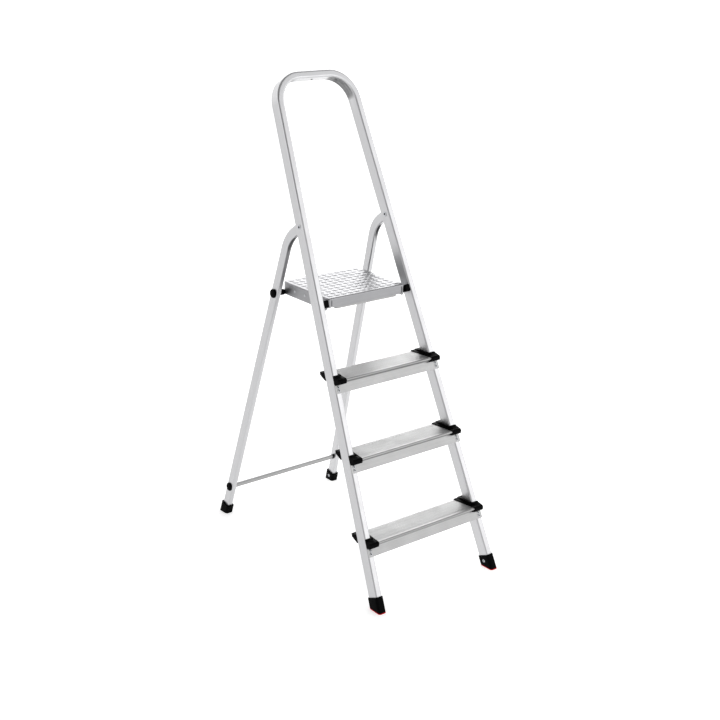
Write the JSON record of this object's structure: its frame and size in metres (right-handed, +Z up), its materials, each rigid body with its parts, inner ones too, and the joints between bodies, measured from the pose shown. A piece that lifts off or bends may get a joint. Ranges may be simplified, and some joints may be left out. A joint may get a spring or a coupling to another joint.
{
  "type": "platform step ladder",
  "caption": "Folding step ladder with grooved treads, a railed standing platform and a rear frame that pivots inside the uprights.",
  "frame": {"origin": "on the floor, in the middle of the footprint of the open ladder", "axes": "+Z up, +Y to the rear, away from the climber, +X to the climber's right"},
  "size_m": [0.43, 0.75, 1.3],
  "materials": {
    "frame_aluminium": "satin anodised tube",
    "tread_aluminium": "mill finish extrusion, grooved",
    "deck_aluminium": "bright pressed sheet",
    "zinc_steel": "zinc plated",
    "black_plastic": "moulded, slight gloss",
    "red_rubber": "matt"
  },
  "bodies": {
    "front_frame": {"front_foot_left": "black_plastic", "front_foot_right": "black_plastic", "front_foot_rivets": "zinc_steel", "front_foot_sole_left": "red_rubber", "front_foot_sole_right": "red_rubber", "front_frame_tube": "frame_aluminium", "platform_support_left": "black_plastic", "platform_support_right": "black_plastic", "step_cap_lower_left": "black_plastic", "step_cap_lower_right": "black_plastic", "step_cap_middle_left": "black_plastic", "step_cap_middle_right": "black_plastic", "step_cap_upper_left": "black_plastic", "step_cap_upper_right": "black_plastic", "step_rivets_lower": "zinc_steel", "step_rivets_middle": "zinc_steel", "step_rivets_upper": "zinc_steel", "step_tread_lower": "tread_aluminium", "step_tread_middle": "tread_aluminium", "step_tread_upper": "tread_aluminium", "top_pivot_rivets": "zinc_steel"},
    "rear_frame": {"crossbar_bolt_caps": "black_plastic", "crossbar_bolts": "zinc_steel", "crossbar_end_plugs": "black_plastic", "platform_pivot_bolts": "zinc_steel", "platform_pivot_caps": "black_plastic", "platform_pivot_nuts": "zinc_steel", "rear_crossbar": "tread_aluminium", "rear_foot_left": "black_plastic", "rear_foot_right": "black_plastic", "rear_foot_rivets": "zinc_steel", "rear_leg_left": "frame_aluminium", "rear_leg_right": "frame_aluminium", "top_pivot_bushes": "black_plastic"},
    "platform": {"platform_deck": "deck_aluminium", "platform_front_pins": "zinc_steel", "platform_front_stiffener": "tread_aluminium", "platform_hinge_plates": "zinc_steel", "platform_pivot_bushes": "black_plastic", "platform_rivets": "zinc_steel"}
  },
  "joints": [
    {"name": "fold", "type": "hinge", "parent": "front_frame", "child": "rear_frame", "pos_m": [0, 0.07974, 0.92236], "axis": [-1, 0, 0], "range_deg": [0, 38]},
    {"name": "platform_tip", "type": "hinge", "parent": "rear_frame", "child": "platform", "pos_m": [0, 0.17543, 0.7185], "axis": [-1, 0, 0], "range_deg": [0, 73.42]}
  ],
  "couplings": [
    {"joint": "platform_tip", "follows": "fold", "ratio": 1.9318}
  ]
}
